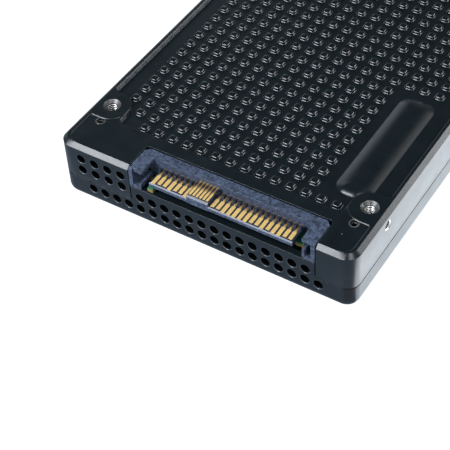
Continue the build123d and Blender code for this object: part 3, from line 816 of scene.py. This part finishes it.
class DRIVE_OT_holes(bpy.types.Operator):
    """Makes the bare threads in the mount holes and the lips of the case screws' holes"""

    bl_idname = "drive.holes"
    bl_label = "Screw holes"

    def execute(self, context):
        holes = look("hole_look")
        metal = make_finish(
            "Bare cut metal", holes.metal, times(holes.metal, 0.65), 0.40, metallic=0.8,
            grain=0.0001, patch=0.001, bump=0.2, edge=0,
        )
        dull = make_finish(
            "Dull cut metal", times(holes.metal, 0.28), times(holes.metal, 0.16), 0.46, metallic=0.6,
            grain=0.0001, patch=0.001, bump=0.2, edge=0,
        )
        shaded_thread_metal = metal.copy()
        shaded_thread_metal.name = "Threaded cut metal"
        # Painted shade: each turn has one dark ring, on the slope that shows.
        groove_start, groove_half = 0.68 * MM, 0.07 * MM
        for turn in range(5):
            level = CASE_HIGH.z - groove_start - turn * holes.pitch
            paint_where(shaded_thread_metal, (0.009, 0.009, 0.011), [("Z", level - groove_half, level + groove_half)])
        top, sides, screws = corner_places()
        bore, sink_floor, top_depth, side_start, side_depth = 1.235, -0.62, 3.95, -0.03, 2.25
        thread = (holes.pitch, bore * MM, bore * MM - holes.depth)
        sink = [(1.87, -0.01), (1.70, -0.16), (1.66, -0.24), (1.47, -0.40), (1.43, -0.48), (bore, sink_floor)]
        shapes = [
            ("top_hole_countersinks", top, [(r * MM, z * MM) for r, z in sink], dull),
            ("top_hole_threads", top, thread_profile(sink_floor * MM, top_depth * MM, *thread), shaded_thread_metal),
            ("side_hole_threads", sides, thread_profile(side_start * MM, side_depth * MM, *thread), metal),
        ]
        for name, places, profile, finish in shapes:
            blind = name.endswith("threads")
            rings = lathe_rings(profile, sides=32)
            template = mesh_piece("thread_shape", rings, closed_top=blind, closed_bottom=False)
            for face in template.data.polygons:
                face.flip()
            put(repeated_piece(name, template, places, finish), finish)
        places = [((x, y, BAND_LEVEL), (0, 0, 1)) for x, y in screws]
        for name, radius, lip, proud in (
            ("case_screw_hole_lips", 0.82 * MM, 0.15 * MM, 0.05 * MM),
            ("case_screw_hole_steps", 0.60 * MM, 0.10 * MM, -0.45 * MM),
        ):
            put(lips_piece(name, places, radius, lip, proud, dull), dull)
        return {"FINISHED"}


class DRIVE_OT_screws(bpy.types.Operator):
    """Makes the case screws with their six-lobed recesses"""

    bl_idname = "drive.screws"
    bl_label = "Case screws"

    def execute(self, context):
        steel = make_finish(
            "Blackened screw steel", look("hole_look").screw, (0.11, 0.11, 0.115), 0.35, metallic=1.0,
            grain=0.00012, patch=0.002, bump=0.15, edge=0,
        )
        sides = 36

        def lobes(radius, wave, z):
            ring = []
            for i in range(sides):
                turn = 2 * math.pi * i / sides
                reach = radius + wave * math.cos(6 * turn)
                ring.append((reach * math.cos(turn), reach * math.sin(turn), z))
            return ring

        # Radius and level of the shank and the head, then radius, lobe height and level of the recess.
        body = ((0.74, -9.05), (0.74, -1.1), (1.8, -1.1), (1.8, -0.22), (1.74, -0.07), (1.6, 0.0))
        cut = ((0.86, 0.12, 0.0), (0.82, 0.12, -0.04), (0.78, 0.12, -0.7), (0.3, 0.0, -0.85))
        shank = lathe_rings([(r * MM, z * MM) for r, z in body], sides)
        recess = [lobes(radius * MM, wave * MM, z * MM) for radius, wave, z in cut]
        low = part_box("case_screws")[0].z
        places = [((x, y, low), (0, 0, -1)) for x, y in corner_places()[2]]
        template = mesh_piece("screw_shape", shank + recess)
        piece = repeated_piece("case_screws_cut", template, places, steel, smooth=35)
        put(piece, steel, ["case_screws"])
        return {"FINISHED"}


def connector_middle():
    """Middle of the plug's tongue across the drive."""
    low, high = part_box("rear_side_contacts")
    return (low.x + high.x) / 2


class DRIVE_OT_plug(bpy.types.Operator):
    """Finishes the plug's plastic body"""

    bl_idname = "drive.plug"
    bl_label = "Plug body"

    def execute(self, context):
        plug = look("plug_look")
        # Painted highlight: the plastic's rounded edges are painted a paler blue-grey, as glints.
        plastic = make_finish(
            "Plug plastic", plug.plastic, plug.bloom, 0.42, rough_spread=0.06, grain=0.0003, patch=0.0006,
            bump=0.05, edge=0.00006, edge_colour=(0.15, 0.20, 0.28), ior=1.58,
        )
        # In the recess round the tongue the plastic is dark and has no bloom.
        middle, half_tongue, front = connector_middle(), 16.9 * MM, HOUSING_LOW.y
        paint_where(plastic, plug.plastic, [
            ("X", middle - half_tongue, middle + half_tongue),
            ("Y", front + 0.25 * MM, front + 5.0 * MM),
            ("Z", HOUSING_HIGH.z - 3.0 * MM, CASE_HIGH.z),
        ])
        piece = copy_of_node("connector_housing", "plug_body")
        smooth_by_angle(piece.data, degrees=24)
        put(piece, plastic, ["connector_housing"])
        return {"FINISHED"}


class DRIVE_OT_contacts(bpy.types.Operator):
    """Finishes the contacts and the pegs of the plug"""

    bl_idname = "drive.contacts"
    bl_label = "Contacts"

    def execute(self, context):
        plug = look("plug_look")
        gold = make_finish(
            "Contact gold", plug.gold, times(plug.gold, 0.86), 0.28, rough_spread=0.06, metallic=0.25,
            grain=0.00012, patch=0.0012, bump=0.05, edge=0.00004,
        )
        # Towards the back the plating is painted darker.
        tree = gold.node_tree
        along = axes_of(tree, place_in(tree))["Y"]
        toward_back = spread_value(tree, along, CASE_LOW.y + 2.6 * MM, CASE_LOW.y + 3.5 * MM, 0.0, 0.9)
        paint_share(tree, toward_back, plug.back_tone)
        for node in ("signal_contacts", "power_contacts", "narrow_contacts", "rear_side_contacts"):
            finish_node(node, gold)
        steel = make_finish(
            "Peg steel", (0.55, 0.56, 0.57), (0.45, 0.46, 0.47), 0.3, metallic=1.0, grain=0.0001,
            patch=0.001, edge=0,
        )
        finish_node("connector_pegs", steel)
        return {"FINISHED"}


class DRIVE_OT_boards(bpy.types.Operator):
    """Finishes the two boards"""

    bl_idname = "drive.boards"
    bl_label = "Boards"

    def execute(self, context):
        board = look("board_look")
        mask = make_finish(
            "Board mask and core", board.mask, times(board.mask, 1.3), 0.3, grain=0.0002, patch=0.003,
            bump=0.15, edge=0,
        )
        tree = mask.node_tree
        shape = tree.nodes.new("ShaderNodeNewGeometry")
        upright = math_node(tree, "ABSOLUTE", axes_of(tree, shape.outputs["Normal"])["Z"])
        paint_share(tree, math_node(tree, "LESS_THAN", upright, 0.5), board.core)
        for node in ("main_board", "second_board"):
            finish_node(node, mask)
        return {"FINISHED"}


class DRIVE_OT_inside(bpy.types.Operator):
    """Finishes the packages, pads and other parts inside the drive"""

    bl_idname = "drive.inside"
    bl_label = "Parts inside"

    def execute(self, context):
        board = look("board_look")
        finishes = {
            "package": make_finish("Package moulding", board.package, times(board.package, 1.5), 0.5,
                                   grain=0.0001, patch=0.002, bump=0.3, edge=0.00005),
            "coil": make_finish("Coil ferrite", (0.09, 0.09, 0.095), (0.12, 0.12, 0.125), 0.6,
                                grain=0.0001, patch=0.001, bump=0.4, edge=0.0001),
            "can": make_finish("Crystal can", (0.62, 0.62, 0.60), (0.55, 0.55, 0.54), 0.25, metallic=1.0,
                               grain=0.0001, patch=0.001, edge=0.0001),
            "sleeve": make_finish("Capacitor sleeve", (0.012, 0.014, 0.05), (0.02, 0.022, 0.07), 0.35,
                                  grain=0.0002, patch=0.003, bump=0.1, edge=0.0002),
            "pad": make_finish("Heat pad", (0.30, 0.38, 0.44), (0.34, 0.42, 0.47), 0.8,
                               grain=0.0002, patch=0.002, bump=0.5, edge=0.0001),
            "link": make_finish("Link plastic", (0.55, 0.52, 0.42), (0.60, 0.57, 0.47), 0.45,
                                grain=0.0002, patch=0.002, edge=0.00006),
            "spacer": make_finish("Spacer plastic", (0.02, 0.02, 0.022), (0.03, 0.03, 0.032), 0.5,
                                  grain=0.0002, patch=0.002, edge=0.00006),
        }
        kinds = {
            "controller_chip": "package", "memory_package": "package", "flash_package": "package",
            "power_chip": "package", "power_coil": "coil", "clock_crystal": "can",
            "hold_up_capacitor": "sleeve", "controller_pad": "pad", "memory_pad": "pad",
            "upper_flash_pad": "pad", "lower_flash_pad": "pad", "board_link": "link",
            "board_spacer": "spacer",
        }
        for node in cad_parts:
            for start, kind in kinds.items():
                if node.startswith(start):
                    finish_node(node, finishes[kind])
        return {"FINISHED"}


def area_lamp(name, direction, wide, tall, power, colour, distance=LAMP_DISTANCE):
    """A soft lamp that hangs in one direction from the drive and faces it."""
    data = bpy.data.lights.new(name, "AREA")
    data.shape = "RECTANGLE"
    data.size = wide
    data.size_y = tall
    data.energy = power
    data.color = colour
    lamp = bpy.data.objects.new(name, data)
    way = Vector(direction).normalized()
    lamp.location = LAMP_CENTRE + way * distance
    lamp.rotation_euler = way.to_track_quat("Z", "Y").to_euler()
    lamp.visible_camera = False
    bpy.context.scene.collection.objects.link(lamp)
    return lamp


class DRIVE_OT_stage(bpy.types.Operator):
    """Makes the camera, the lamps, the world and the floor"""

    bl_idname = "drive.stage"
    bl_label = "Stage"

    def execute(self, context):
        scene = bpy.context.scene
        stage = look("stage_look")
        scene.view_settings.view_transform = "Standard"
        # The camera was solved from the photograph with the drive's standard sizes.
        data = bpy.data.cameras.new("Camera")
        data.lens = stage.lens
        data.sensor_width = 36
        data.shift_x = -0.10731719
        data.shift_y = -0.13167728
        data.clip_start = 0.01
        data.clip_end = 20
        camera = bpy.data.objects.new("Camera", data)
        camera.location = (0.11444944, -0.20364595, 0.20680170)
        camera.rotation_euler = [math.radians(a) for a in (46.0213009, 1.43592702, 30.8168581)]
        scene.collection.objects.link(camera)
        scene.camera = camera
        for lamp in (
            ("Key lamp", (-0.3836, -0.6943, 0.6092), 0.26, 0.26, stage.key_power, (0.90, 0.94, 1.0)),
            ("Side lamp", (0.76, 0.61, 0.15), 0.20, 0.14, stage.side_power, (0.93, 0.97, 1.0)),
            ("Back lamp", (0.50, 0.61, 0.60), 0.34, 0.26, stage.back_power, (0.97, 0.98, 1.0)),
            ("Left lamp", (-0.75, 0.61, 0.30), 0.30, 0.20, stage.left_power, (0.84, 0.92, 1.0)),
            ("Corner lamp", (0.60, -0.37, 0.68), 0.16, 0.16, stage.corner_power, (0.93, 0.96, 1.0)),
        ):
            area_lamp(*lamp)
        strip = area_lamp("Table lamp", (0, 0, -1), 0.07, 0.17, stage.strip_power, (0.89, 0.95, 1.0), 0.0)
        strip.location = (CASE_HIGH.x + 0.0335, 0.037, 0.00005)
        strip.rotation_euler = (math.pi, 0, 0)
        self.make_world(scene)
        self.make_floor(scene)
        return {"FINISHED"}

    def make_world(self, scene):
        """Pale near the horizon and dark overhead, with a white background."""
        world = bpy.data.worlds.new("Studio")
        world.use_nodes = True
        scene.world = world
        tree = world.node_tree
        tree.nodes.clear()
        place = tree.nodes.new("ShaderNodeTexCoord").outputs["Generated"]
        ramp = add_node(tree, "ShaderNodeValToRGB", {"Fac": axes_of(tree, place)["Z"]})
        low, high = ramp.color_ramp.elements
        low.position, low.color = 0.0, (0.39, 0.40, 0.42, 1)
        high.position, high.color = 0.62, (0.059, 0.066, 0.070, 1)
        ramp.color_ramp.elements.new(0.30).color = (0.18, 0.19, 0.205, 1)
        path = tree.nodes.new("ShaderNodeLightPath")
        light = add_node(tree, "ShaderNodeBackground", {"Color": ramp.outputs["Color"]})
        white = add_node(tree, "ShaderNodeBackground", {"Color": (1, 1, 1, 1), "Strength": 1.0})
        mix = add_node(tree, "ShaderNodeMixShader", {
            "Fac": path.outputs["Is Camera Ray"], 1: light.outputs[0], 2: white.outputs[0],
        })
        add_node(tree, "ShaderNodeOutputWorld", {"Surface": mix.outputs[0]})

    def make_floor(self, scene):
        """A white floor that keeps a faint shadow, and shows glossy rays a painted reflection."""
        mesh = bpy.data.meshes.new("floor")
        half, level = 1.5, -0.02 * MM
        corners = [(-half, -half, level), (half, -half, level), (half, half, level), (-half, half, level)]
        mesh.from_pydata(corners, [], [(0, 1, 2, 3)])
        floor = bpy.data.objects.new("floor", mesh)
        scene.collection.objects.link(floor)
        material = bpy.data.materials.new("White table")
        material.use_nodes = True
        tree = material.node_tree
        tree.nodes.clear()
        matt = add_node(tree, "ShaderNodeBsdfDiffuse", {"Color": (0.30, 0.30, 0.30, 1)})
        path = tree.nodes.new("ShaderNodeLightPath").outputs
        mirrored = math_node(tree, "ADD", path["Is Glossy Ray"], path["Is Transmission Ray"], use_clamp=True)
        # Painted reflection: glossy rays meet a pale floor beside and behind the drive, and a dark blue shade
        # in front of it.
        parts = axes_of(tree, tree.nodes.new("ShaderNodeTexCoord").outputs["Object"])
        beside = spread_value(tree, parts["X"], 0.034, 0.042, 0.0, 1.0)
        behind = spread_value(tree, parts["Y"], -0.051, -0.041, 0.0, 1.0)
        to_right = math_node(tree, "MULTIPLY", beside, behind)
        shade = mix_colours(tree, to_right, (0.008, 0.07, 0.17), (0.9, 0.95, 1.0))
        dark = mix_colours(tree, mirrored, (0, 0, 0), shade)
        colour = mix_colours(tree, path["Is Camera Ray"], dark, (0.9, 0.9, 0.9))
        glow = add_node(tree, "ShaderNodeEmission", {"Color": colour})
        both = add_node(tree, "ShaderNodeAddShader", {0: matt.outputs[0], 1: glow.outputs[0]})
        add_node(tree, "ShaderNodeOutputMaterial", {"Surface": both.outputs[0]})
        mesh.materials.append(material)


OPERATORS = (
    DRIVE_OT_stage, DRIVE_OT_case, DRIVE_OT_studs, DRIVE_OT_raised, DRIVE_OT_cover, DRIVE_OT_vents,
    DRIVE_OT_holes, DRIVE_OT_screws, DRIVE_OT_plug, DRIVE_OT_contacts, DRIVE_OT_boards, DRIVE_OT_inside,
)
LOOKS = (
    ("case_look", CaseLook), ("hole_look", HoleLook), ("plug_look", PlugLook), ("board_look", BoardLook),
    ("stage_look", StageLook),
)


class DRIVE_PT_panel(bpy.types.Panel):
    """Lists what can be built"""

    bl_idname = "DRIVE_PT_panel"
    bl_label = "Bay drive"
    bl_space_type = "VIEW_3D"
    bl_region_type = "UI"
    bl_category = "Bay drive"

    def draw(self, context):
        for name, kind in LOOKS:
            column = self.layout.column(align=True)
            for key in kind.__annotations__:
                column.prop(getattr(context.scene, name), key)
        for operator in OPERATORS:
            self.layout.operator(operator.bl_idname)


def register():
    for name, kind in LOOKS:
        bpy.utils.register_class(kind)
        setattr(bpy.types.Scene, name, bpy.props.PointerProperty(type=kind))
    for operator in OPERATORS:
        bpy.utils.register_class(operator)
    bpy.utils.register_class(DRIVE_PT_panel)


def unregister():
    bpy.utils.unregister_class(DRIVE_PT_panel)
    for operator in reversed(OPERATORS):
        bpy.utils.unregister_class(operator)
    for name, kind in reversed(LOOKS):
        delattr(bpy.types.Scene, name)
        bpy.utils.unregister_class(kind)


def main():
    """Builds everything."""
    register()
    for operator in OPERATORS:
        getattr(bpy.ops.drive, operator.bl_idname.split(".")[1])()


if __name__ == "__main__":
    main()
